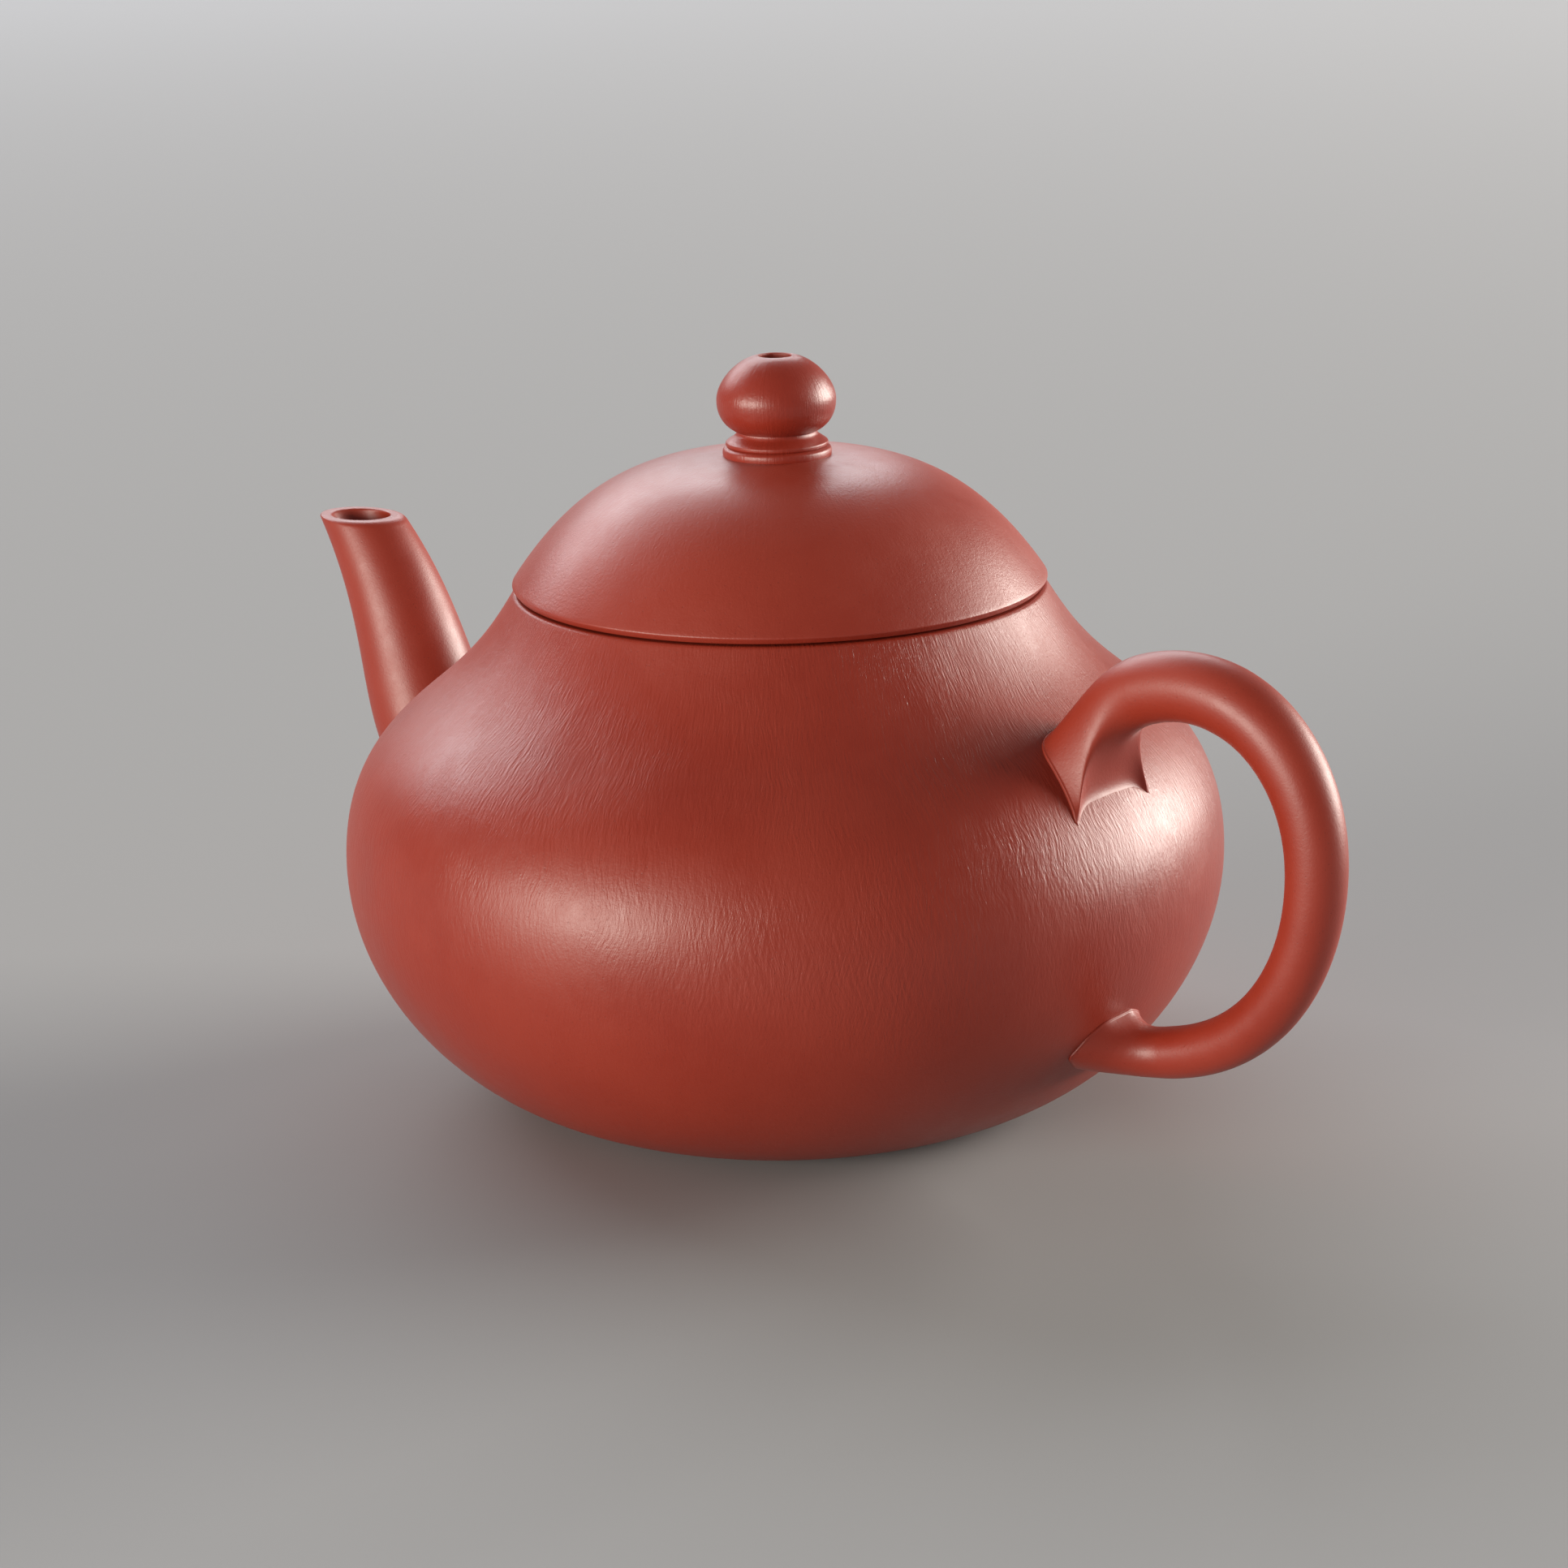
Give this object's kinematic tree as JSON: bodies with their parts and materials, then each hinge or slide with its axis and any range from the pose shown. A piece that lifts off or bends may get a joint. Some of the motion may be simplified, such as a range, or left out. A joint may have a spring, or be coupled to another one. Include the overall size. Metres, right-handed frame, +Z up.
{
  "type": "clay teapot",
  "caption": "Small unglazed red clay teapot: pear-shaped body, short curved spout, ear handle and a domed lid with a pierced bead knob that lifts off and turns.",
  "frame": {"origin": "centre of the flat face of the base, on the pot's axis", "axes": "+Z up along the pot's axis, +X towards the handle, -X towards the spout"},
  "size_m": [0.1324, 0.09, 0.0759],
  "materials": {
    "pot_clay": "satin, burnished, unglazed",
    "handle_clay": "satin, smooth, unglazed",
    "lid_clay": "satin, fine-grained, unglazed",
    "knob_clay": "satin, burnished, unglazed",
    "inner_clay": "matt, unburnished, unglazed"
  },
  "bodies": {
    "pot": {"base_disc": "pot_clay", "belly_wall": "pot_clay", "shoulder_disc": "pot_clay", "mouth_ring": "pot_clay", "spout": "pot_clay", "strainer": "inner_clay", "handle": "handle_clay"},
    "lid_lifter": {"lid_flange": "inner_clay"},
    "lid": {"lid_dome": "lid_clay", "lid_seat_ring": "lid_clay", "knob_base_ring": "knob_clay", "knob_collar": "knob_clay", "knob_bead": "knob_clay"}
  },
  "joints": [
    {"name": "lid_lift", "type": "slide", "parent": "pot", "child": "lid_lifter", "axis": [0, 0, 1], "range_m": [0, 0.06]},
    {"name": "lid_turn", "type": "hinge", "parent": "lid_lifter", "child": "lid", "pos_m": [0, 0, 0.0529], "axis": [0, 0, 1], "continuous": true}
  ]
}
